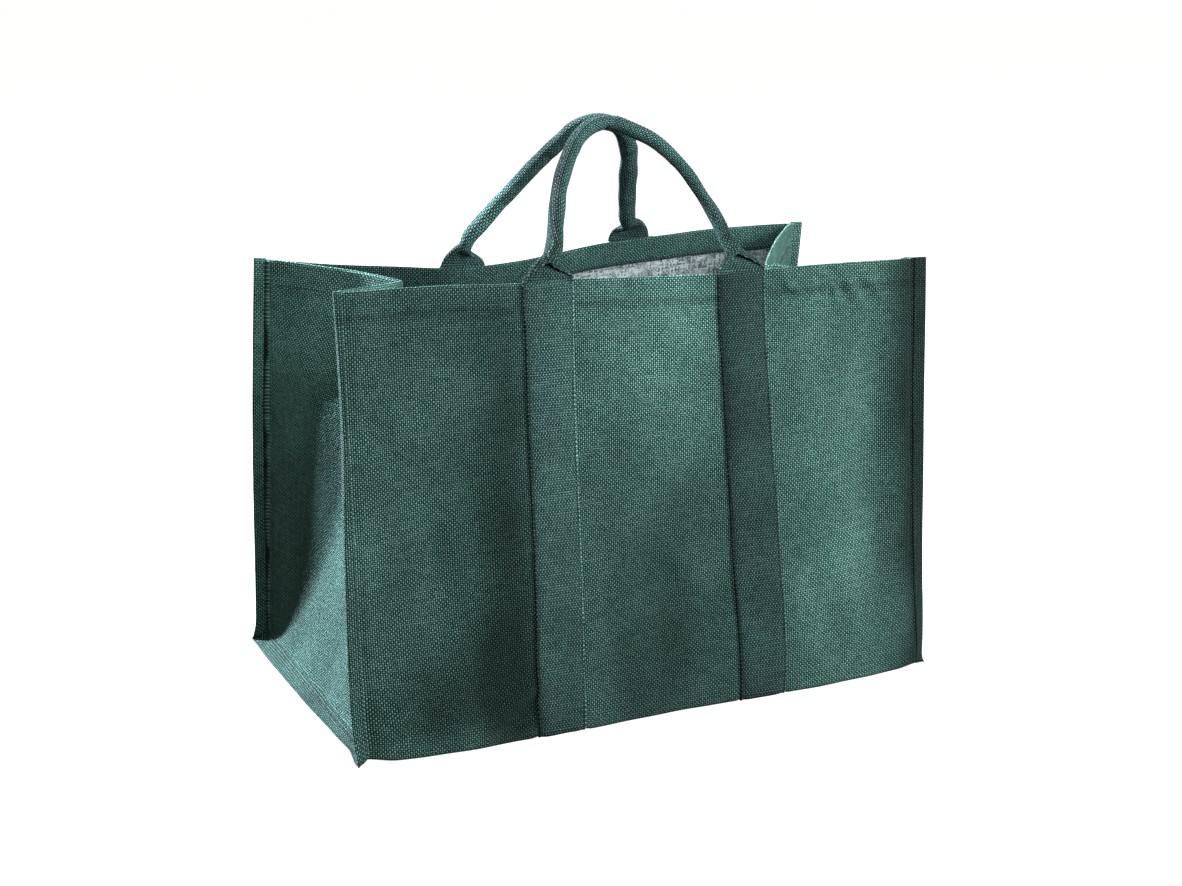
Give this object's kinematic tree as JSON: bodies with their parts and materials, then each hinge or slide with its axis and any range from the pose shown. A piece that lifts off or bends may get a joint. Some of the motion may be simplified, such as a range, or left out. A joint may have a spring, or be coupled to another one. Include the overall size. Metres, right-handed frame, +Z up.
{
  "type": "woven tote bag",
  "caption": "Large open-top woven tote bag with pleated end gussets, sewn-on straps and padded loop handles, for carrying and storing rope or logs.",
  "frame": {"origin": "on the floor, under the middle of the base", "axes": "+X along the bag's length, +Y from the front panel to the back panel, +Z up"},
  "size_m": [0.6, 0.3288, 0.5443],
  "materials": {
    "body_cloth": "matte plain-weave jute, dark green",
    "strap_cloth": "matte dense ribbed webbing, blue-green",
    "lining_film": "thin grey laminate over the weave, soft sheen",
    "thread": "dark green sewing thread",
    "rope_core": "undyed jute rope"
  },
  "bodies": {
    "bag": {"body_cloth": "body_cloth", "left_gusset": "body_cloth", "right_gusset": "body_cloth", "left_strap": "strap_cloth", "right_strap": "strap_cloth", "left_gusset_seam_thread": "thread", "right_gusset_seam_thread": "thread", "left_gusset_hem_thread": "thread", "right_gusset_hem_thread": "thread", "front_hem_thread": "thread", "back_hem_thread": "thread", "front_left_strap_thread": "thread", "front_right_strap_thread": "thread", "back_left_strap_thread": "thread", "back_right_strap_thread": "thread"},
    "front_handle": {"front_handle_cover": "strap_cloth", "front_handle_core": "rope_core", "front_handle_thread": "thread"},
    "rear_handle": {"rear_handle_cover": "strap_cloth", "rear_handle_core": "rope_core", "rear_handle_thread": "thread"}
  },
  "joints": [
    {"name": "front_handle_swing", "type": "hinge", "parent": "bag", "child": "front_handle", "pos_m": [0, -0.1331, 0.408], "axis": [1, 0, 0], "range_deg": [0, 214]},
    {"name": "rear_handle_swing", "type": "hinge", "parent": "bag", "child": "rear_handle", "pos_m": [0, 0.1141, 0.408], "axis": [-1, 0, 0], "range_deg": [0, 209]}
  ]
}
